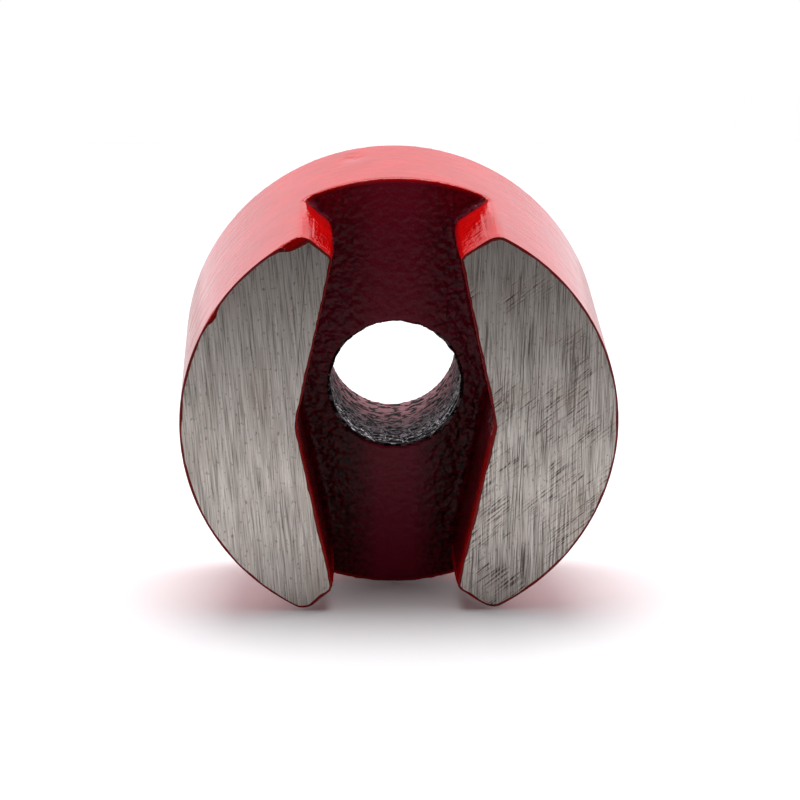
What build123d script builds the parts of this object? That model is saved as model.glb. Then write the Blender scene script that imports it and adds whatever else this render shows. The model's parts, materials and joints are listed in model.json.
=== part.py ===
from build123d import *
import math
import os

os.makedirs("parts", exist_ok=True)

# Cast alnico button magnet, two poles, enamelled red all over except its ground pole faces and its bore.
# Millimetres. While it is modelled the bore runs along Y: the pole faces look along -Y at y = 0, the
# channel between the poles runs along Z, and the back face looks along +Y. It is then laid down as it
# rests on a table, on the front edge of its yoke and on the two lower pole tips.

# Driving dimensions, all over the enamel
outside_diameter = 25.4
height = 15.9              # pole faces to back face
bore_diameter = 7.9        # cast through the yoke, left bare
channel_depth = 7.7        # pole faces to channel floor
middle_width = 11.45       # channel width beside the bore, where it is widest
neck_width = 7.15          # channel width at its two necks
mouth_width = 10.9         # channel width where the flared mouths meet the outside
flare_length = 1.4         # from each neck to its mouth, along the channel
enamel_thickness = 0.15

# Radii of the casting pattern, over the enamel
middle_radius = 1.5        # wall bend beside the bore
neck_radius = 0.5          # wall bend at each neck
root_radius = 0.4          # where the walls meet the channel floor
edge_radius = 0.2          # outside edges, except the ground ones
bore_edge = 0.1            # flare at both ends of the bore

overrun = 2.0              # how far a cutting shape runs past what it cuts
tiny = 0.001               # closer than this counts as the same place


def channel_outline():
    """The channel seen from the pole faces: two bent walls and two flared mouths that run past the outside."""
    radius = outside_diameter / 2
    mouth = Vector(mouth_width / 2, math.sqrt(radius**2 - (mouth_width / 2) ** 2))
    neck = Vector(neck_width / 2, mouth.Y - flare_length)
    end = mouth + (mouth - neck) * ((radius + overrun - mouth.Y) / flare_length)
    quarter = [end, neck, Vector(middle_width / 2, 0)]
    right = [(p.X, p.Y) for p in quarter] + [(p.X, -p.Y) for p in quarter[-2::-1]]
    left = [(-x, y) for x, y in reversed(right)]
    outline = make_face(Polyline(*right, *left, close=True))
    outline = fillet(outline.vertices().filter_by(lambda v: abs(v.Y) < tiny), middle_radius)
    necks = outline.vertices().filter_by(lambda v: abs(abs(v.Y) - neck.Y) < tiny)
    return fillet(necks, neck_radius)


def channel_cutter(depth, widening):
    """The channel as a solid that starts in front of the pole faces and ends at its floor."""
    outline = offset(channel_outline(), widening, kind=Kind.INTERSECTION) if widening else channel_outline()
    return Pos(0, -overrun, 0) * extrude(Plane.XZ * outline, -(depth + overrun))


def magnet_body(skin):
    """The whole magnet without its bore, with a skin of this thickness taken off everything but the pole faces."""
    radius = outside_diameter / 2 - skin
    depth = channel_depth + skin
    disc = extrude(Plane.XZ * Circle(radius), -(height - skin))
    body = disc - channel_cutter(depth, skin)

    floor_edges = body.edges().filter_by_position(Axis.Y, depth - tiny, depth + tiny)
    roots = floor_edges.filter_by(lambda e: radial_distance(e) < radius - tiny)
    body = fillet(roots, root_radius + skin)

    outer = body.edges().filter_by(lambda e: radial_distance(e) > radius - tiny)
    ground = body.edges().filter_by_position(Axis.Y, -tiny, tiny)
    return fillet(outer - ground, edge_radius - skin)


def radial_distance(edge):
    """How far an edge's middle is from the bore axis."""
    middle = edge @ 0.5
    return math.hypot(middle.X, middle.Z)


def bore_cutter():
    """The bore with its flared ends, from the back face to the channel floor and past both."""
    r = bore_diameter / 2
    flare = r + bore_edge
    profile = Polyline(
        (0, channel_depth - overrun), (flare, channel_depth - overrun), (flare, channel_depth),
        (r, channel_depth + bore_edge), (r, height - bore_edge),
        (flare, height), (flare, height + overrun), (0, height + overrun), close=True)
    return revolve(make_face(profile), Axis.Y)


def resting_place(coated):
    """Leans the magnet forward until the yoke's front edge and both lower pole tips touch one flat surface,
    and puts the origin on that surface, under the middle of the magnet."""
    pole_faces = coated.faces().filter_by_position(Axis.Y, -tiny, tiny)
    tip_z = min(face.bounding_box().min.Z for face in pole_faces)
    rise = outside_diameter / 2 + tip_z - edge_radius
    run = channel_depth + edge_radius
    lean = math.degrees(math.atan2(rise, run) + math.asin(edge_radius / math.hypot(rise, run)))
    box = (Rot(X=lean) * coated).bounding_box()
    return Pos(0, -box.center().Y, -box.min.Z) * Rot(X=lean), lean


coated_body = magnet_body(0)
cast_body = magnet_body(enamel_thickness)
place, lean = resting_place(coated_body)

pieces = {
    "magnet_casting": cast_body - bore_cutter(),
    "enamel_coat": coated_body - cast_body - bore_cutter(),
}
for name, piece in pieces.items():
    laid = place * piece
    laid.label = name
    export_step(laid, f"parts/{name}.step")
    print(name, "solids", len(laid.solids()), "volume", round(laid.volume, 2))
print("lean", lean)
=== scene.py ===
# %% [markdown]
# # A cast button magnet, enamelled red
#
# The object is one casting of alnico with two poles, covered in red enamel and then ground bright on its
# pole faces. This lesson follows the same order as the foundry and the paint shop: a rough cast skin, a
# film of enamel over it, and one flat grinding cut through both. Each step makes geometry first and leaves
# only what is finer than a hair to the materials.

# %% The frame that everything is built on
import json
import math

import bmesh
import bpy
import numpy as np
from mathutils import Matrix, Vector, noise


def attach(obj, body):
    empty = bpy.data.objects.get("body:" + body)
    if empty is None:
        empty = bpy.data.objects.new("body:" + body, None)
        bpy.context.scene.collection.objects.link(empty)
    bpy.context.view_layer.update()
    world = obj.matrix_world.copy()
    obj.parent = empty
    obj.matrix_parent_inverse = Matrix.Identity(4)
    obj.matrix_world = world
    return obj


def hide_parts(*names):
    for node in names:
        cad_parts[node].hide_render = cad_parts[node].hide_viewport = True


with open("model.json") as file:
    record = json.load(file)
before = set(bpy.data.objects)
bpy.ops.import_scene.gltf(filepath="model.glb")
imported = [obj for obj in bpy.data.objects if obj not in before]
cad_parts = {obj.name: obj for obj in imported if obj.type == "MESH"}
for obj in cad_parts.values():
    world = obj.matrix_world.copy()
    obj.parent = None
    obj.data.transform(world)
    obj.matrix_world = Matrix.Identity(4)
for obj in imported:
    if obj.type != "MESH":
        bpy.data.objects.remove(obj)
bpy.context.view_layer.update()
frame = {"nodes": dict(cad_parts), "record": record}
record = frame["record"]
mounts = {mount["name"]: mount for mount in record["mounts"]}
MM = 0.001

# %% [markdown]
# ## The magnet's own frame
#
# The magnet lies on a table, on the front edge of its yoke and on its two lower pole tips, so it leans
# forward a little. It is easier to model it straight: pole faces at y = 0, the bore along y, the channel
# along z, in millimetres. The bore and a pole face give that frame, because they are stated as mounts. The
# other way is to measure the lean off the mesh, which would follow every change of a fillet.

# %% The matrices between the magnet's frame and the table's
def magnet_frame():
    """The magnet's frame in metres: x across the channel, y to the back face, z along the channel."""
    front = Vector(mounts["bore"]["axis"])
    middle = Vector(mounts["bore"]["pos_m"])
    face = Vector(mounts["left_pole_face"]["pos_m"])
    origin = middle + front * (face - middle).dot(front)
    across = Vector((1, 0, 0))
    along = across.cross(-front)
    return Matrix.Translation(origin) @ Matrix((across, -front, along)).transposed().to_4x4()


own_frame = magnet_frame()
to_table = own_frame @ Matrix.Scale(MM, 4)
to_magnet = to_table.inverted()
lean = math.asin(-mounts["bore"]["axis"][2])
print("leans forward by", round(math.degrees(lean), 2), "degrees")

# %% Sizes read off the CAD solids
def node_points(name):
    """The corners of a CAD node's mesh in the magnet's frame, in millimetres."""
    mesh = frame["nodes"][name].data
    points = np.empty(len(mesh.vertices) * 3)
    mesh.vertices.foreach_get("co", points)
    matrix = np.array(to_magnet @ frame["nodes"][name].matrix_world)
    return points.reshape(-1, 3) @ matrix[:3, :3].T + matrix[:3, 3]


coat_points = node_points("enamel_coat")
casting_points = node_points("magnet_casting")
OUTSIDE_RADIUS = np.hypot(coat_points[:, 0], coat_points[:, 2]).max()
HEIGHT = coat_points[:, 1].max()
FILM = HEIGHT - casting_points[:, 1].max()
BORE_RADIUS = mounts["bore"]["dims"]["r_mm"]
BORE_MIDDLE = (to_magnet @ Vector(mounts["bore"]["pos_m"])).y
YOKE_FRONT = HEIGHT - (HEIGHT - BORE_MIDDLE) * 2
print("radius", round(OUTSIDE_RADIUS, 2), "height", round(HEIGHT, 2), "film", round(FILM, 3),
      "channel floor", round(YOKE_FRONT, 2))

# %% [markdown]
# ## The camera
#
# A long lens close to the table, a little above the magnet, as for a small product on a white sheet.
# The lens is long because the magnet is small: it keeps the two pole faces from spreading.

# %% Camera
CAMERA_PLACE = Vector((-5.9, -208.1, 45.4)) * MM
LOOKS_DOWN = 9.25          # degrees below the horizon
TURNED_RIGHT = 1.70        # degrees off the table's y axis
LENS = 158.5               # mm, on a sensor 36 mm wide

camera = bpy.data.objects.new("camera", bpy.data.cameras.new("camera"))
camera.data.lens = LENS
camera.data.sensor_width = 36.0
camera.data.clip_start = 0.01
camera.location = CAMERA_PLACE
camera.rotation_euler = [math.radians(a) for a in (90 - LOOKS_DOWN, 0, -TURNED_RIGHT)]
bpy.context.scene.collection.objects.link(camera)
bpy.context.scene.camera = camera
bpy.context.scene.view_settings.view_transform = "Standard"

# %% [markdown]
# ## The blank that the foundry pours
#
# A casting has no sharp edges and no perfect planes. The two CAD solids together are the enamelled magnet,
# so their meshes are joined, their pole faces are moved out by a grinding allowance, and a voxel remesh
# turns them into one skin of small even squares that can take a grain. Sculpting or subdividing the long
# CAD triangles would also work, but triangles of every length crumple when a grain moves them.

# %% One even skin over both solids
VOXEL = 0.14               # mm, the side of one square of the skin
ALLOWANCE = 1.0            # mm of metal that grinding takes off the poles


def joined_solids():
    """Both CAD meshes as one, in the magnet's frame, with the pole faces moved out by the allowance."""
    bm = bmesh.new()
    for node in frame["nodes"].values():
        bm.from_mesh(node.data)
    bmesh.ops.transform(bm, matrix=to_magnet, verts=bm.verts)
    for vert in bm.verts:
        if abs(vert.co.y) < VOXEL / 4:
            vert.co.y = -ALLOWANCE
    mesh = bpy.data.meshes.new("joined_solids")
    bm.to_mesh(mesh)
    bm.free()
    return mesh


def evaluated(mesh, set_up):
    """The mesh after the modifier that set_up adds to it."""
    helper = bpy.data.objects.new("helper", mesh)
    bpy.context.scene.collection.objects.link(helper)
    set_up(helper.modifiers)
    graph = bpy.context.evaluated_depsgraph_get()
    result = bpy.data.meshes.new_from_object(helper.evaluated_get(graph))
    bpy.data.objects.remove(helper)
    return result


def add_voxel_remesh(modifiers):
    remesh = modifiers.new("voxels", "REMESH")
    remesh.mode = "VOXEL"
    remesh.voxel_size = VOXEL


DIP_HEIGHT = 3.0           # mm, how tall a dip's ellipsoid is from its middle


def shallow_dip(name, angle, radius, along, across, depth):
    """An ellipsoid that dips into the poles at a radius and an angle round the bore axis.

    The angle is in degrees from straight up. Along and across are half the dip's size at the pole faces.
    """
    bm = bmesh.new()
    bmesh.ops.create_icosphere(bm, subdivisions=5, radius=1.0)
    mesh = bpy.data.meshes.new(name)
    bm.to_mesh(mesh)
    bm.free()
    dip = bpy.data.objects.new(name, mesh)
    share = math.sqrt(1 - (1 - depth / DIP_HEIGHT) ** 2)
    turn = Matrix.Rotation(math.radians(angle), 4, "Y")
    dip.matrix_world = turn @ Matrix.Translation((0, depth - DIP_HEIGHT, radius)) @ Matrix.Diagonal(
        (along / share, DIP_HEIGHT, across / share, 1))
    bpy.context.scene.collection.objects.link(dip)
    return dip


even_skin = evaluated(joined_solids(), add_voxel_remesh)
low_places = [             # where the pour left the poles too low to grind clean
    shallow_dip("low_corner", angle=-28.3, radius=13.25, along=1.3, across=0.95, depth=0.16),
    shallow_dip("low_edge", angle=-58.5, radius=13.1, along=0.85, across=0.52, depth=0.12)]


def add_low_places(modifiers):
    for place in low_places:
        missing = modifiers.new(place.name, "BOOLEAN")
        missing.operation = "DIFFERENCE"
        missing.object = place
    add_voxel_remesh(modifiers)


blank = evaluated(even_skin, add_low_places)
for place in low_places:
    bpy.data.objects.remove(place)
print("blank:", len(blank.polygons), "squares of", VOXEL, "mm")

# %% [markdown]
# ## Where the surface is smooth and where it is rough
#
# The outside was dressed before painting, so it is smooth. The channel was left as the sand made it, and
# its grain is coarser beside the walls, where a foundryman can't reach. The bore is rougher still. A point's
# distance from the bore axis and from the pole faces says which of these it is on, so no painted masks are
# needed. The channel and the bore also get squares half as large, because only they need them.

# %% Regions of the skin
DRESSED_DEPTH = 0.12       # mm, how far in from the outside the dressed surface still counts
ROOT = 0.4                 # mm in front of the channel floor, where the walls turn into it


def axis_distance(point):
    """How far a point is from the bore axis."""
    return math.hypot(point.x, point.z)


def is_inside(point):
    """True in the channel and the bore, false on the outside, the back and the outer edges."""
    return axis_distance(point) < OUTSIDE_RADIUS - DRESSED_DEPTH and point.y < HEIGHT - DRESSED_DEPTH


def in_bore(point):
    """True on the bore's bare wall."""
    within_yoke = YOKE_FRONT + FILM / 2 < point.y < HEIGHT - FILM / 2
    return within_yoke and axis_distance(point) < BORE_RADIUS + FILM


def finer_inside(mesh):
    """The same mesh with every square of the channel and the bore cut in four."""
    bm = bmesh.new()
    bm.from_mesh(mesh)
    rough = [face for face in bm.faces if is_inside(face.calc_center_median())]
    edges = {edge for face in rough for edge in face.edges}
    bmesh.ops.subdivide_edges(bm, edges=list(edges), cuts=1, use_grid_fill=True)
    return bm


skin = finer_inside(blank)
print("skin:", len(skin.faces), "faces")

# %% [markdown]
# ## The grain of the casting
#
# Sand leaves rounded lumps a few tenths of a millimetre wide. Perlin noise of two sizes gives lumps like
# that, and it moves each point inwards along its normal, so the magnet never outgrows its drawing. A
# displacement texture would do the same with less control over where the grain is strong.

# %% Grain
COARSE_GRAIN = 0.42        # mm between lumps
FINE_GRAIN = 0.21
BORE_LUMPS = 1.7           # how many times larger the lumps of the bore are
OUTSIDE_DEPTH = 0.012      # mm, the grain's greatest depth on the dressed outside
WALL_DEPTH = 0.07          # on the channel's walls
FLOOR_DEPTH = 0.05         # in the middle of the channel floor
FOOT_DEPTH = 0.13          # how much more at the foot of the walls
FOOT_DISTANCE = 4.0        # mm from the middle of the channel to there
BORE_DEPTH = 0.22          # in the bore
BORE_SMOOTHER = 3.0        # mm from the back over which the bore's grain fades
BORE_BACK = 0.35           # to this share of its depth
BORE_LEVEL = 0.9           # height of the bore's lumps that stays where the drawing has it
DRESSING_WAVE = 3.5        # mm between the faint waves that dressing leaves outside
WAVE_DEPTH = 0.01


def clamped(value):
    """The value held between 0 and 1."""
    return min(1.0, max(0.0, value))


def grain_height(point):
    """How high the surface stands at a point, from -1 to 1."""
    return 0.6 * noise.noise(point / COARSE_GRAIN) + 0.4 * noise.noise(point / FINE_GRAIN)


def grain_depth(point):
    """The greatest depth of the grain at a point, in mm."""
    if in_bore(point):
        return BORE_DEPTH * min(1.0, BORE_BACK + (HEIGHT - point.y) / BORE_SMOOTHER)
    if not is_inside(point):
        return OUTSIDE_DEPTH
    if point.y < YOKE_FRONT - ROOT:
        return WALL_DEPTH
    return FLOOR_DEPTH + FOOT_DEPTH * clamped(abs(point.x) / FOOT_DISTANCE) ** 2


def grain(point):
    """How far the grain and the faint waves of dressing move a point inwards, in mm."""
    if in_bore(point):
        below = BORE_LEVEL - grain_height(point / BORE_LUMPS)
    else:
        below = 1 - grain_height(point)
    return grain_depth(point) * below / 2 + WAVE_DEPTH * (1 - noise.noise(point / DRESSING_WAVE))


# %% [markdown]
# ## What this casting has of its own
#
# A drawing has straight flares, a round bore and sharp corners. A casting has the shape of its pattern and
# of its sand core, and then a hand dresses it. The flares bulge a little, the core lay a little to the left
# and was thinner in the bore, the poles' corners were dressed round, and a drip was wiped off the enamel.
# Each of these is one short function of a point, which keeps them apart and easy to leave out.

# %% Bulging flares
FLARE_START = 9.9          # mm along the channel to where the flares begin
MOUTH_HALF = 5.7           # mm, a little more than half a mouth's width
FLARE_BULGE = 0.15         # mm that a flare stands out at half its depth
FLARE_RIDGE = 0.2          # mm between the fine ridges that run into the channel
RIDGE_LENGTH = 1.5
RIDGE_HEIGHT = 0.02


def flare_bulge(point):
    """How far a flare stands out at a point, in mm, with its fine ridges."""
    on_flare = abs(point.z) > FLARE_START and abs(point.x) < MOUTH_HALF
    if not (on_flare and 0 < point.y < YOKE_FRONT - ROOT and is_inside(point)):
        return 0.0
    from_half_depth = 2 * point.y / YOKE_FRONT - 1
    ridge = noise.noise(Vector((point.x / FLARE_RIDGE, point.y / RIDGE_LENGTH, point.z / FLARE_RIDGE)))
    return (FLARE_BULGE + RIDGE_HEIGHT * ridge) * (1 - from_half_depth ** 2)


# %% A core that was thinner in the bore and lay to the left
SHRINK_FRONT = 0.17        # mm that the bore's radius is under size at its front
SHRINK_BACK = 0.10         # and at its back
SHRINK_REACH = 0.6         # mm round the bore where the floor and the back follow it
SHRINK_FADE = 0.5
RIM_DEPTH = 0.3            # mm in front of the channel floor where the rim's points end
CORE_SHIFT = 0.2           # mm that the core lay to the left of the middle
CORE_HALF = 6.6            # mm, more than half the channel's width
CORE_BELOW = 0.5           # mm behind the channel floor where its points end
BORE_CLEAR = 0.45          # mm round the bore that the shift leaves alone
SHIFT_END = 11.4           # mm along the channel, where the shift has died out
SHIFT_FADE = 1.4


def bore_shrink(point):
    """The move, in mm, that makes the bore a little smaller than drawn, most at its front."""
    radial = axis_distance(point)
    near = min(1.0, (BORE_RADIUS + SHRINK_REACH - radial) / SHRINK_FADE)
    if near <= 0 or point.y < YOKE_FRONT - RIM_DEPTH:
        return Vector((0, 0, 0))
    back = (point.y - YOKE_FRONT) / (HEIGHT - YOKE_FRONT)
    shrink = SHRINK_FRONT + (SHRINK_BACK - SHRINK_FRONT) * back
    return Vector((-point.x, 0, -point.z)) * (shrink * near / radial)


def core_shift(point):
    """The move of a point of the channel to the left, in mm: none beside the bore and none at the mouths."""
    if not (abs(point.x) < CORE_HALF and point.y < YOKE_FRONT + CORE_BELOW and is_inside(point)):
        return Vector((0, 0, 0))
    past_bore = clamped(axis_distance(point) - BORE_RADIUS - BORE_CLEAR)
    from_mouth = clamped((SHIFT_END - abs(point.z)) / SHIFT_FADE)
    return Vector((-CORE_SHIFT * past_bore * from_mouth, 0, 0))


# %% A wiped drip
RUN_MARK = Vector((-2.4, 13.4, 12.4))     # on top near the back
RUN_WIDTH, RUN_LENGTH, RUN_DEPTH = 0.55, 0.8, 0.05
RUN_GRAIN = 0.4            # mm between its own lumps
RUN_END = 9                # where its bell curve is too low to matter


def run_mark(point):
    """How deep the wiped drip is at a point, in mm."""
    offset = point - RUN_MARK
    squared = (offset.x / RUN_WIDTH) ** 2 + (offset.y / RUN_LENGTH) ** 2 + offset.z ** 2
    if squared >= RUN_END:
        return 0.0
    return RUN_DEPTH * math.exp(-squared) * (1 + noise.noise(point / RUN_GRAIN))


# %% Pole corners dressed round
CORNER_RADIUS = 1.1        # mm, at the pole faces
CORNER_FADE = 6.0          # mm behind the pole faces, where the corners are as drawn again
ARC_ACROSS = 0.115         # radii from the sharp corner to the arc's middle, across the channel
ARC_BACK = 1.161           # and radii back along it
CORNER_WAY = Vector((-0.099, 0.995))      # across and along, from the arc's middle to the sharp corner
HALF_ARC = 0.857           # cosine of the arc's angle to both sides of that way, about 31 degrees
ON_FACE = 0.001            # mm, CAD points nearer the pole faces than this are on them

tip = min((point for point in coat_points if point[1] < ON_FACE), key=lambda point: point[2])
arc_middle = Vector((abs(tip[0]) + ARC_ACROSS * CORNER_RADIUS, abs(tip[2]) - ARC_BACK * CORNER_RADIUS))


def rounded_corner(point):
    """The point, pulled in where dressing has taken the corner off a pole beside a mouth."""
    arm = Vector((abs(point.x), abs(point.z))) - arc_middle
    on_corner = arm.dot(CORNER_WAY) >= HALF_ARC * arm.length
    if point.y >= CORNER_FADE or arm.length <= CORNER_RADIUS or not on_corner:
        return point
    pulled = arc_middle + arm * (CORNER_RADIUS / arm.length)
    on_arc = Vector((math.copysign(pulled.x, point.x), point.y, math.copysign(pulled.y, point.z)))
    return point.lerp(on_arc, min(1.0, 1 - point.y / CORNER_FADE))


# %% The skin takes its real shape
def add_own_shape(bm):
    """Moves every point of the skin to where this casting has it."""
    bm.normal_update()
    moved = []
    for vert in bm.verts:
        out = flare_bulge(vert.co) - grain(vert.co) - run_mark(vert.co)
        moved.append(vert.co + vert.normal * out + bore_shrink(vert.co) + core_shift(vert.co))
    for vert, point in zip(bm.verts, moved):
        vert.co = rounded_corner(point)


add_own_shape(skin)
lowest = min(vert.co.z for vert in skin.verts if vert.co.y < 0)
print("lower tips now", round(lowest - tip[2], 2), "mm above the drawn ones")

# %% [markdown]
# ## The poles are ground
#
# After painting, the poles are ground until bare metal shows, which cuts the film square. A bisecting plane
# does exactly what the wheel does, and because the skin already has its grain, the edge comes out slightly
# uneven by itself. A few more cuts close behind the plane leave rows of points that can round the film's
# edge.

# %% Grinding cut
EDGE_ROWS = (0.03, 0.07, 0.12, 0.2)    # mm behind the pole faces
MERGE = 0.002                          # mm, points closer to the plane than this count as on it


def cut(bm, y, clear=False):
    """Cuts the skin with a plane parallel to the pole faces and can clear what is in front of it."""
    bmesh.ops.bisect_plane(
        bm, geom=bm.verts[:] + bm.edges[:] + bm.faces[:], dist=MERGE,
        plane_co=(0, y, 0), plane_no=(0, -1, 0), clear_outer=clear)


cut(skin, 0, clear=True)
for row in EDGE_ROWS:
    cut(skin, row)
open_count = sum(edge.is_boundary for edge in skin.edges)
print("after grinding:", len(skin.faces), "faces,", open_count, "open edges")

# %% [markdown]
# ## The film of enamel and the casting under it
#
# Both pieces come from the one skin. The enamel is the skin wherever it was painted, with a second layer a
# film's thickness below it and a rim that joins them, so it is a closed solid like the real film. The casting
# is the same skin moved in by the film, the bare bore left where it was, and its poles closed with flat
# faces. A Solidify modifier would make a film of one thickness; here it is thicker in some places, as brushed
# or dipped enamel is.

# %% Points, normals and film thickness of the skin
EDGE_ROUNDING = 0.05       # mm, how far the film's edge at the pole faces is rounded over
ON_POLE = 0.004            # mm, points nearer the pole faces than this are their rim
RIM_PASSES = 6
MEAN_FILM = 0.95           # as a share of the CAD film
FILM_WAVES = ((0.5, 1.3), (0.25, 0.4))    # a share of the film and the mm between its thick places


def film_at(point):
    """Thickness of the enamel at a point, in mm."""
    return FILM * (MEAN_FILM + sum(share * noise.noise(point / size) for share, size in FILM_WAVES))


def rounded(point, normal):
    """A point of the film's outer side, pulled in where the film turns over its edge at the pole faces."""
    if point.y >= EDGE_ROUNDING:
        return point
    reach = min(EDGE_ROUNDING - point.y, EDGE_ROUNDING)
    return point - normal * (EDGE_ROUNDING - math.sqrt(EDGE_ROUNDING ** 2 - reach ** 2))


def flat_on_pole(point):
    """Keeps a point at or behind the pole faces."""
    return Vector((point.x, max(point.y, 0.0), point.z))


def smooth_rim(points, passes):
    """Averages the rim's points at the pole faces with their neighbours, so that it never crosses itself."""
    neighbours = {}
    for edge in skin.edges:
        if edge.is_boundary:
            first, last = (vert.index for vert in edge.verts)
            neighbours.setdefault(first, []).append(last)
            neighbours.setdefault(last, []).append(first)
    for _ in range(passes):
        means = {i: (points[i] * 2 + points[pair[0]] + points[pair[1]]) / 4 for i, pair in neighbours.items()}
        for i, mean in means.items():
            points[i] = mean


skin.normal_update()
skin.verts.index_update()
outer, inner, bare = [], [], []
for vert in skin.verts:
    at_rim = vert.co.y < ON_POLE
    sideways = Vector((vert.normal.x, 0, vert.normal.z)).normalized() if at_rim else vert.normal
    below = vert.co - sideways * film_at(vert.co)
    outer.append(rounded(vert.co, sideways))
    inner.append(Vector((below.x, 0.0, below.z)) if at_rim else flat_on_pole(below))
    bare.append(in_bore(vert.co))

smooth_rim(inner, RIM_PASSES)
painted_faces, bore_faces = [], []
for face in skin.faces:
    corners = [vert.index for vert in face.verts]
    (bore_faces if all(bare[i] for i in corners) else painted_faces).append(corners)
print("painted faces", len(painted_faces), "bare faces", len(bore_faces))

# %% Meshes from lists of points and faces
def new_piece(name, points, faces):
    """A smooth piece made in the magnet's frame in mm and placed on the table in metres."""
    mesh = bpy.data.meshes.new(name)
    mesh.from_pydata(points, [], faces)
    mesh.transform(to_table)
    mesh.shade_smooth()
    piece = bpy.data.objects.new(name, mesh)
    bpy.context.scene.collection.objects.link(piece)
    return piece


def open_edges(faces):
    """The directed edges that only one face uses."""
    edges = {pair: True for face in faces for pair in zip(face, face[1:] + face[:1])}
    return [(a, b) for a, b in edges if (b, a) not in edges]


def compact(points, faces):
    """Drops the points that no face uses."""
    used = sorted({i for face in faces for i in face})
    place = {old: new for new, old in enumerate(used)}
    return [points[i] for i in used], [[place[i] for i in face] for face in faces]


count = len(outer)
under_faces = [[i + count for i in reversed(face)] for face in painted_faces]
rim_faces = [[b, a, a + count, b + count] for a, b in open_edges(painted_faces)]
enamel = new_piece("red_enamel_film", *compact(outer + inner, painted_faces + under_faces + rim_faces))
print("enamel:", len(enamel.data.polygons), "faces")

# %% The casting, with its pole faces closed
def loops(edges):
    """Directed edges joined end to end into closed loops."""
    following = dict(edges)
    found = []
    while following:
        start, at = following.popitem()
        loop = [start]
        while at != start:
            loop.append(at)
            at = following.pop(at)
        found.append(loop)
    return found


cast_points = [top if is_bare else below for top, below, is_bare in zip(outer, inner, bare)]
casting_faces = painted_faces + bore_faces
pole_loops = [loop[::-1] for loop in loops(open_edges(casting_faces))]
casting = new_piece("ground_alnico_casting", cast_points, casting_faces + pole_loops)
for polygon in casting.data.polygons[-len(pole_loops):]:
    polygon.use_smooth = False
print("casting:", len(casting.data.polygons), "faces,", len(pole_loops), "pole faces")

# %% Each piece stands for its CAD node
for piece, node, slot_name in (
        (enamel, "enamel_coat", "red_enamel"), (casting, "magnet_casting", "alnico_casting")):
    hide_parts(node)
    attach(piece, "root")

# %% [markdown]
# ## Tools for the materials
#
# Every pattern below is sized in millimetres and lies along the magnet's own axes, so one mapping node turns
# the object's coordinates into the magnet's frame first. Colours are written as they look on a screen and
# turned to linear light once. One small function adds every node, with its settings, its fixed inputs and
# its links, so a material reads as a list of what it is made of.

# %% Colour and node helpers
def linear(code):
    """A screen colour such as "c8102e" as linear light."""
    channels = [int(code[i:i + 2], 16) / 255 for i in (0, 2, 4)]
    return [c / 12.92 if c <= 0.04045 else ((c + 0.055) / 1.055) ** 2.4 for c in channels] + [1.0]


def add(tree, kind, inputs=(), output=0, **settings):
    """Adds a node and gives back one of its outputs. An input is linked to an output or set to a value."""
    new = tree.nodes.new("ShaderNode" + kind)
    for name, value in settings.items():
        setattr(new, name, value)
    for key, value in dict(inputs).items():
        if isinstance(value, bpy.types.NodeSocket):
            tree.links.new(new.inputs[key], value)
        else:
            new.inputs[key].default_value = value
    return new.outputs[output] if new.outputs else new


TIMES = {"operation": "MULTIPLY"}
PLUS = {"operation": "ADD"}
COLOURS = {"output": 2, "data_type": "RGBA"}     # a mix of two colours, inputs 6 and 7
FROM_MM = {"vector_type": "TEXTURE"}             # a mapping whose scale is the size of one step


def new_material(name):
    """A material with only its output and a principled shader, and the magnet's frame in mm to paint by."""
    material = bpy.data.materials.new(name)
    material.use_nodes = True
    tree = material.node_tree
    tree.nodes.clear()
    surface = add(tree, "BsdfPrincipled")
    add(tree, "OutputMaterial", {"Surface": surface})
    frame_mm = add(tree, "Mapping", {
        "Vector": add(tree, "TexCoord", output="Object"), "Location": own_frame.translation,
        "Rotation": own_frame.to_euler(), "Scale": (MM, MM, MM)}, **FROM_MM)
    return material, tree, surface.node.inputs, frame_mm


# %% [markdown]
# ## Red enamel
#
# The real finish is stoving enamel, a pigmented resin that is dipped or sprayed on and baked. It dries to a
# hard gloss with an index near 1.5, so at a low angle it mirrors the room while straight on it is a deep red
# that hardly sends back any green or blue. Its surface isn't flat like glass: it follows the casting's
# finest grain and adds a slight orange peel. One glossy layer over a red base is enough for that; a separate
# clear coat would be right for a car, which has one. In the channel the same enamel dried over rough sand
# skin, so it has less sheen. Its colour there is painted shade, a darker red with a painted bluish sheen,
# darkest at the foot of the walls and in the lower half, with painted shadow in the pits.

# %% Red enamel material
STREAK_TURNS = 2.0         # streaks for each radian round the bore axis
STREAK_ROWS = 2.2          # rows of streaks for each mm along it


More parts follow.
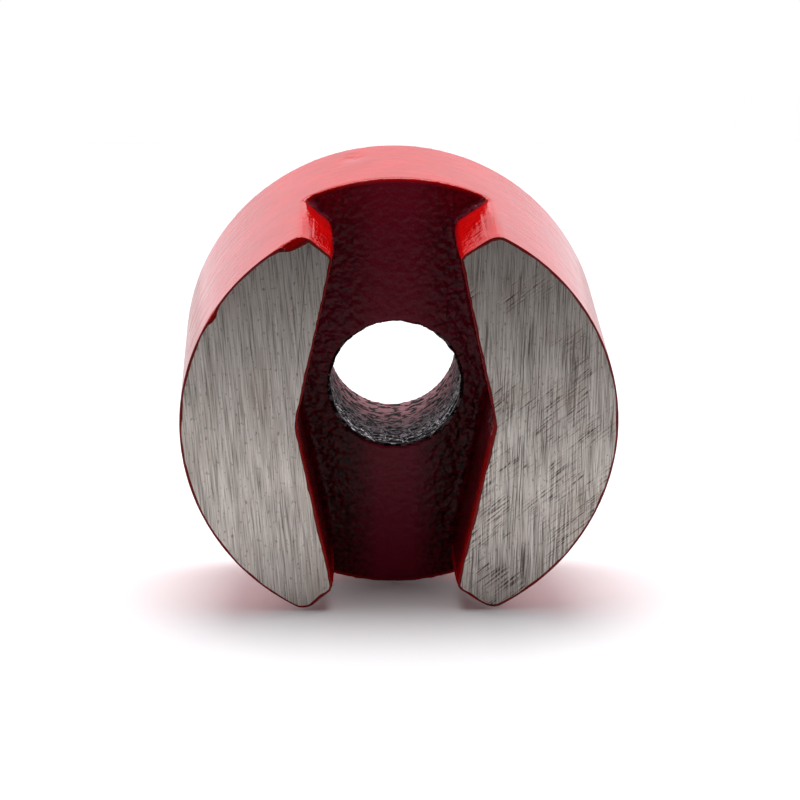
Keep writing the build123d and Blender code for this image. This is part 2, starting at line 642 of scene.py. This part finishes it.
def red_enamel(name, specular_level):
    material, tree, shader, frame_mm = new_material(name)
    shader["IOR"].default_value = 1.46
    shader["Specular IOR Level"].default_value = specular_level
    x, y, z = add(tree, "SeparateXYZ", {0: frame_mm}).node.outputs

    # Inside the channel, away from the outside and the back
    flat = add(tree, "CombineXYZ", {0: x, 1: z})
    radial = add(tree, "VectorMath", {0: flat}, 1, operation="LENGTH")
    within = add(tree, "MapRange", {0: radial, 1: OUTSIDE_RADIUS - 0.12, 2: OUTSIDE_RADIUS - 0.3})
    off_back = add(tree, "MapRange", {0: y, 1: HEIGHT - 1.5, 2: HEIGHT - 2.0})
    inside = add(tree, "Math", {0: within, 1: off_back}, **TIMES)
    outside = add(tree, "Math", {0: 1.0, 1: inside}, operation="SUBTRACT")

    # Streaks of handling round the outside
    angle = add(tree, "Math", {0: z, 1: x}, operation="ARCTAN2")
    around = add(tree, "CombineXYZ", {
        0: add(tree, "Math", {0: angle, 1: STREAK_TURNS}, **TIMES),
        1: add(tree, "Math", {0: y, 1: STREAK_ROWS}, **TIMES)})
    marks = add(tree, "TexNoise", {"Vector": around, "Scale": 1.0, "Detail": 4.0})
    before_back = add(tree, "MapRange", {0: y, 1: HEIGHT - 0.2, 2: HEIGHT - 0.5, 3: 0.5})
    streaks = add(tree, "Math", {0: marks, 1: before_back}, **TIMES)

    # Red with slight pools, a little paler where it is worn
    pools = add(tree, "TexNoise", {"Vector": frame_mm, "Scale": 1 / 2.5, "Detail": 3.0})
    pooled = add(tree, "MapRange", {0: pools, 1: 0.3, 2: 0.7})
    colour = add(tree, "Mix", {0: pooled, 6: linear("c00505"), 7: linear("d20a0a")}, **COLOURS)
    wear = add(tree, "MapRange", {0: streaks, 1: 0.55, 2: 0.75, 4: 0.08})
    worn = add(tree, "Math", {0: wear, 1: outside}, **TIMES)
    colour = add(tree, "Mix", {0: worn, 6: colour, 7: linear("f0a8a8")}, **COLOURS)

    # Where the channel is deep: its floor, and its walls between the mouths, which take the painted shade
    # below
    along = add(tree, "Math", {0: z}, operation="ABSOLUTE")
    between_mouths = add(tree, "MapRange", {0: along, 1: 10.3, 2: 9.5})
    on_floor = add(tree, "MapRange", {0: y, 1: YOKE_FRONT - 0.6, 2: YOKE_FRONT - 0.2})
    wall_depth = add(tree, "MapRange", {0: y, 1: 0.3, 2: 2.2})
    on_wall = add(tree, "Math", {0: wall_depth, 1: between_mouths}, **TIMES)
    deep = add(tree, "Math", {0: on_floor, 1: on_wall}, operation="MAXIMUM")
    recess_shade_mask = add(tree, "Math", {0: deep, 1: inside}, **TIMES)

    # Painted shade: a darker red towards the foot of the walls and in the lower half, with painted shadow in
    # the pits. The blue in these reds is a painted sheen
    across = add(tree, "Math", {0: x}, operation="ABSOLUTE")
    foot = add(tree, "MapRange", {0: across, 1: 1.0, 2: 2.8})
    lower = add(tree, "MapRange", {0: z, 1: 3.0, 2: -3.0, 3: 0.5})
    floor_shade = add(tree, "Math", {0: foot, 1: lower}, **TIMES)
    wall_shade = add(tree, "MapRange", {0: on_floor, 3: 0.7, 4: 0.0})
    shade = add(tree, "Math", {0: floor_shade, 1: wall_shade}, operation="MAXIMUM")
    recess_shade_colour = add(tree, "Mix", {0: shade, 6: linear("94203a"), 7: linear("640410")}, **COLOURS)
    sand = add(tree, "TexNoise", {"Vector": frame_mm, "Scale": 1 / 0.3, "Detail": 2.0})
    pit_shadow_mask = add(tree, "MapRange", {0: sand, 1: 0.46, 2: 0.56, 4: 0.8})
    pits = add(tree, "Math", {0: add(tree, "Math", {0: pit_shadow_mask, 1: shade}, **TIMES), 1: on_floor}, **TIMES)
    recess_shade_colour = add(tree, "Mix", {0: pits, 6: recess_shade_colour, 7: linear("28030c")}, **COLOURS)
    # The painted shade of the recess replaces the enamel's red there
    colour = add(tree, "Mix", {0: recess_shade_mask, 6: colour, 7: recess_shade_colour}, **COLOURS)

    # The cut edge at the pole faces, darkened to a brown red within 0.04 mm of them
    darkened_cut_edge = add(tree, "MapRange", {0: y, 1: 0.04, 2: 0.02, 4: 0.8})
    colour = add(tree, "Mix", {0: darkened_cut_edge, 6: colour, 7: linear("74221e")}, **COLOURS)
    tree.links.new(shader["Base Color"], colour)

    film = add(tree, "TexNoise", {"Vector": frame_mm, "Scale": 1 / 0.9, "Detail": 4.0})
    gloss = add(tree, "MapRange", {0: film, 1: 0.3, 2: 0.7, 3: 0.07, 4: 0.15})
    streaked = add(tree, "MapRange", {0: streaks, 1: 0.45, 2: 0.7, 4: 0.12})
    tree.links.new(shader["Roughness"], add(tree, "Math", {0: gloss, 1: streaked}, **PLUS))

    # Cast grain of 0.16 mm, orange peel of 0.8 mm and the streaks' relief
    grain_fine = add(tree, "TexNoise", {"Vector": frame_mm, "Scale": 1 / 0.16, "Detail": 3.0})
    stronger = add(tree, "MapRange", {0: inside, 3: 0.1, 4: 1.6})
    peel = add(tree, "TexNoise", {"Vector": frame_mm, "Scale": 1 / 0.8, "Detail": 1.0})
    relief = add(tree, "Math", {0: add(tree, "Math", {0: grain_fine, 1: stronger}, **TIMES), 1: peel}, **PLUS)
    relief = add(tree, "Math", {0: relief, 1: add(tree, "Math", {0: streaks, 1: 0.8}, **TIMES)}, **PLUS)
    bump = add(tree, "Bump", {"Height": relief, "Strength": 0.5, "Distance": 0.02 * MM})
    tree.links.new(shader["Normal"], bump)
    return material


enamel.data.materials.append(red_enamel("red_stoving_enamel", 0.5))
enamel.data.materials.append(red_enamel("red_stoving_enamel_in_recess", 0.17))
for polygon in enamel.data.polygons:
    polygon.material_index = int(is_inside(to_magnet @ polygon.center))
print("enamel:", [material.name for material in enamel.data.materials])

# %% [markdown]
# ## Alnico, ground and as cast
#
# Alnico is a hard, grey alloy of iron, aluminium, nickel and cobalt. A surface grinder leaves it bright but
# not polished: fine parallel lines, a few deeper scratches where grit dragged, and brown specks where bare
# iron has started to rust. As cast, in the bore, the same metal is dark, scaled and rough. They are two
# materials on one piece, because the wheel touched only the pole faces.

# %% Ground pole faces
def lines(tree, frame_mm, width, length, turn=0.0, detail=2.0):
    """Long thin marks of a width and a length in mm, turned from the channel's direction by turn degrees.

    The finest real lines are too fine to show, so the narrowest here are 0.06 mm wide.
    """
    place = add(tree, "Mapping", {
        "Vector": frame_mm, "Rotation": (0, math.radians(turn), 0), "Scale": (width, 1, length)}, **FROM_MM)
    return add(tree, "TexNoise", {"Vector": place, "Scale": 1.0, "Detail": detail})


def ground_alnico():
    material, tree, shader, frame_mm = new_material("ground_alnico")
    shader["Metallic"].default_value = 1.0
    x, _, z = add(tree, "SeparateXYZ", {0: frame_mm}).node.outputs
    right = add(tree, "MapRange", {0: x, 1: -0.5, 2: 0.5})

    # The wheel's lines, which lean a little on the left pole
    fine_left = lines(tree, frame_mm, 0.1, 4.5, -6, 1.0)
    fine_right = lines(tree, frame_mm, 0.11, 5.5, 1, 1.0)
    fine = add(tree, "Mix", {0: right, 2: fine_left, 3: fine_right})
    finer = lines(tree, frame_mm, 0.06, 2.0, -3, 1.0)
    broad = lines(tree, frame_mm, 0.5, 9.0, -4)
    clouds = add(tree, "TexNoise", {"Vector": frame_mm, "Scale": 1 / 3.0, "Detail": 3.0})

    # Groups of slanting scratches and steep ones, on the right pole
    dragged = add(tree, "MapRange", {0: lines(tree, frame_mm, 0.1, 2.2, 50), 1: 0.52, 2: 0.62})
    broken = add(tree, "MapRange", {0: fine_right, 1: 0.6, 2: 0.45, 3: 0.35})
    lower = add(tree, "MapRange", {0: z, 1: 8.0, 2: -3.0, 3: -0.07, 4: 0.06})
    groups = add(tree, "MapRange", {0: add(tree, "Math", {0: clouds, 1: lower}, **PLUS), 1: 0.47, 2: 0.57})
    slanting = add(tree, "Math", {0: add(tree, "Math", {0: dragged, 1: broken}, **TIMES), 1: groups}, **TIMES)
    steep = add(tree, "MapRange", {0: lines(tree, frame_mm, 0.08, 3.4, 2), 1: 0.52, 2: 0.64, 4: 0.75})
    steep_groups = add(tree, "MapRange", {0: lines(tree, frame_mm, 2.2, 5.0), 1: 0.36, 2: 0.5})
    upright = add(tree, "Math", {0: steep, 1: steep_groups}, **TIMES)
    dark = add(tree, "Math", {0: slanting, 1: upright}, operation="MAXIMUM")
    scratches = add(tree, "Math", {0: dark, 1: right}, **TIMES)
    bright = add(tree, "MapRange", {0: lines(tree, frame_mm, 0.12, 3.5, -6), 1: 0.6, 2: 0.72, 4: 0.6})

    # Grey metal, dark and bright along the lines, with scratches, stains and rust specks
    both = add(tree, "Math", {0: add(tree, "Math", {0: fine, 1: 0.4}, **TIMES),
                              1: add(tree, "Math", {0: finer, 1: 0.4}, **TIMES)}, **PLUS)
    shade = add(tree, "Math", {0: both, 1: add(tree, "Math", {0: broad, 1: 0.2}, **TIMES)}, **PLUS)
    lighter = add(tree, "MapRange", {0: shade, 1: 0.34, 2: 0.5})
    lightest = add(tree, "MapRange", {0: shade, 1: 0.5, 2: 0.66})
    metal = add(tree, "Mix", {0: lighter, 6: linear("8d857e"), 7: linear("dad2ca")}, **COLOURS)
    metal = add(tree, "Mix", {0: lightest, 6: metal, 7: linear("fbf4ec")}, **COLOURS)
    metal = add(tree, "Mix", {0: bright, 6: metal, 7: linear("fffaf4")}, **COLOURS)
    metal = add(tree, "Mix", {0: scratches, 6: metal, 7: linear("564e4a")}, **COLOURS)
    stains = add(tree, "MapRange", {0: clouds, 1: 0.5, 2: 0.7, 4: 0.25})
    metal = add(tree, "Mix", {0: stains, 6: metal, 7: linear("b9a394")}, **COLOURS)
    specks = lines(tree, frame_mm, 0.16, 0.3, 0, 3.0)
    rust = add(tree, "MapRange", {0: specks, 1: 0.6, 2: 0.7, 4: 0.6})
    metal = add(tree, "Mix", {0: rust, 6: metal, 7: linear("7d6557")}, **COLOURS)
    tree.links.new(shader["Base Color"], metal)

    roughness = add(tree, "MapRange", {0: shade, 1: 0.35, 2: 0.65, 3: 0.42, 4: 0.3})
    tree.links.new(shader["Roughness"], roughness)
    grooves = add(tree, "Math", {0: scratches, 1: -2.0}, **TIMES)
    relief = add(tree, "Math", {0: add(tree, "Math", {0: fine, 1: finer}, **PLUS), 1: grooves}, **PLUS)
    bump = add(tree, "Bump", {"Height": relief, "Strength": 0.5, "Distance": 0.012 * MM})
    tree.links.new(shader["Normal"], bump)
    return material


# %% The bore, as it was cast
PIT_LENGTH, PIT_WIDTH = 0.55, 0.32     # mm round the bore and along it


def cast_alnico():
    material, tree, shader, frame_mm = new_material("cast_alnico")
    shader["Specular IOR Level"].default_value = 0.2
    x, y, z = add(tree, "SeparateXYZ", {0: frame_mm}).node.outputs
    down = add(tree, "Math", {0: z, 1: -1.0}, **TIMES)
    angle = add(tree, "Math", {0: x, 1: down}, operation="ARCTAN2")
    around = add(tree, "CombineXYZ", {
        0: add(tree, "Math", {0: angle, 1: BORE_RADIUS / PIT_LENGTH}, **TIMES),
        1: add(tree, "Math", {0: y, 1: 1 / PIT_WIDTH}, **TIMES)})
    pits = add(tree, "TexNoise", {"Vector": around, "Scale": 1.0, "Detail": 3.0, "Distortion": 0.6})
    folds = add(tree, "TexNoise", {"Vector": around, "Scale": 0.55, "Detail": 2.0, "Distortion": 1.5})

    # Bare grey scale in front, red dust of the spray behind, dark pits all over
    front = add(tree, "MapRange", {0: y, 1: HEIGHT - 3.0, 2: YOKE_FRONT + 1.0})
    colour = add(tree, "Mix", {0: front, 6: linear("986a70"), 7: linear("7f787c")}, **COLOURS)
    more = add(tree, "MapRange", {0: front, 4: 0.07})
    dark = add(tree, "MapRange", {0: add(tree, "Math", {0: pits, 1: more}, **PLUS), 1: 0.49, 2: 0.53})
    colour = add(tree, "Mix", {0: dark, 6: colour, 7: linear("060508")}, **COLOURS)

    # Thin folds of the metal that glint near the front
    from_fold = add(tree, "Math", {
        0: add(tree, "Math", {0: folds, 1: 0.5}, operation="SUBTRACT")}, operation="ABSOLUTE")
    fold = add(tree, "MapRange", {0: from_fold, 1: 0.025, 2: 0.008})
    behind_rim = add(tree, "MapRange", {0: y, 1: YOKE_FRONT + 0.15, 2: YOKE_FRONT + 0.45})
    glint = add(tree, "Math", {0: fold, 1: add(tree, "Math", {0: front, 1: behind_rim}, **TIMES)}, **TIMES)
    colour = add(tree, "Mix", {0: glint, 6: colour, 7: linear("f0eef2")}, **COLOURS)
    tree.links.new(shader["Base Color"], colour)
    tree.links.new(shader["Metallic"], glint)
    tree.links.new(shader["Roughness"], add(tree, "MapRange", {0: glint, 3: 0.8, 4: 0.35}))

    sand = add(tree, "TexNoise", {"Vector": frame_mm, "Scale": 1 / 0.35, "Detail": 4.0})
    bump = add(tree, "Bump", {"Height": sand, "Strength": 0.9, "Distance": 0.08 * MM})
    tree.links.new(shader["Normal"], bump)
    return material


casting.data.materials.append(cast_alnico())
casting.data.materials.append(ground_alnico())
for polygon in casting.data.polygons[-len(pole_loops):]:
    polygon.material_index = 1
print("casting:", [material.name for material in casting.data.materials])

# %% [markdown]
# ## Table and light
#
# The magnet lies on a plain white sheet. A large soft light stands above and a little behind it, so the top
# of the enamel is washed with light, the channel is in shade and the ground poles mirror only the sheet in
# front of them. The room in front is dim. The camera sees plain white behind, which is only for the
# camera, because the world's own light comes mostly from the back.

# %% Floor
FLOOR_SIZE = 0.6                       # m
DIM_FROM, LIT_FROM = -0.055, -0.02     # m, the table's y where the sheet is dim and where it is lit


def pale_sheet():
    """A white sheet. What the magnet sees of it is a painted pool of light near the magnet, with painted
    shade farther in front, so it gives the magnet less light back than the camera, as a sheet lit from behind
    does.
    """
    material = bpy.data.materials.new("white_sheet")
    material.use_nodes = True
    tree = material.node_tree
    tree.nodes.clear()
    seen = add(tree, "BsdfPrincipled", {
        "Base Color": linear("fafafa"), "Roughness": 0.5,
        "Emission Color": linear("ffffff"), "Emission Strength": 0.02})
    place = add(tree, "NewGeometry", output="Position")
    _, y, _ = add(tree, "SeparateXYZ", {0: place}).node.outputs
    # Painted light: the colour the magnet sees is light near it and dark from 55 mm in front
    near = add(tree, "MapRange", {0: y, 1: DIM_FROM, 2: LIT_FROM})
    painted_light_colour = add(tree, "Mix", {0: near, 6: linear("222222"), 7: linear("cccccc")}, **COLOURS)
    lent = add(tree, "BsdfDiffuse", {"Color": painted_light_colour})
    sheet = add(tree, "MixShader", {0: add(tree, "LightPath", output="Is Camera Ray"), 1: lent, 2: seen})
    add(tree, "OutputMaterial", {"Surface": sheet})
    return material


bm = bmesh.new()
bmesh.ops.create_grid(bm, x_segments=1, y_segments=1, size=FLOOR_SIZE / 2)
floor = bpy.data.objects.new("white_sheet", bpy.data.meshes.new("white_sheet"))
bm.to_mesh(floor.data)
bm.free()
bpy.context.scene.collection.objects.link(floor)
floor.data.materials.append(pale_sheet())
print("sheet", FLOOR_SIZE, "m wide")

# %% Light from above
SOFTBOX_PLACE = Vector((0.0, 0.10, 0.50))    # m
SOFTBOX_SIZE = 0.35
SOFTBOX_POWER = 1.9        # W; the magnet is small and near
AIM = Vector((0, 0, 0.012))

light = bpy.data.objects.new("overhead_softbox", bpy.data.lights.new("overhead_softbox", "AREA"))
light.data.size = SOFTBOX_SIZE
light.data.energy = SOFTBOX_POWER
light.location = SOFTBOX_PLACE
light.rotation_euler = (AIM - SOFTBOX_PLACE).to_track_quat("-Z", "Y").to_euler()
bpy.context.scene.collection.objects.link(light)
print("softbox", round(SOFTBOX_PLACE.length, 2), "m away")

# %% Light of the room
DIM_FRONT, BRIGHT_BACK = 0.03, 1.1


def studio_world():
    """White for the camera; for everything else bright behind and above, dim in front."""
    world = bpy.data.worlds.new("studio")
    world.use_nodes = True
    tree = world.node_tree
    tree.nodes.clear()
    way = add(tree, "TexCoord", output="Generated")
    _, y, _ = add(tree, "SeparateXYZ", {0: way}).node.outputs
    strength = add(tree, "MapRange", {0: y, 1: -0.65, 2: 0.05, 3: DIM_FRONT, 4: BRIGHT_BACK})
    room = add(tree, "Background", {"Color": (1.0, 0.96, 1.0, 1), "Strength": strength})
    plain = add(tree, "Background", {"Color": (1, 1, 1, 1), "Strength": 1.0})
    both = add(tree, "MixShader", {0: add(tree, "LightPath", output="Is Camera Ray"), 1: room, 2: plain})
    add(tree, "OutputWorld", {"Surface": both})
    return world


bpy.context.scene.world = studio_world()
print("room", DIM_FRONT, "in front,", BRIGHT_BACK, "behind")
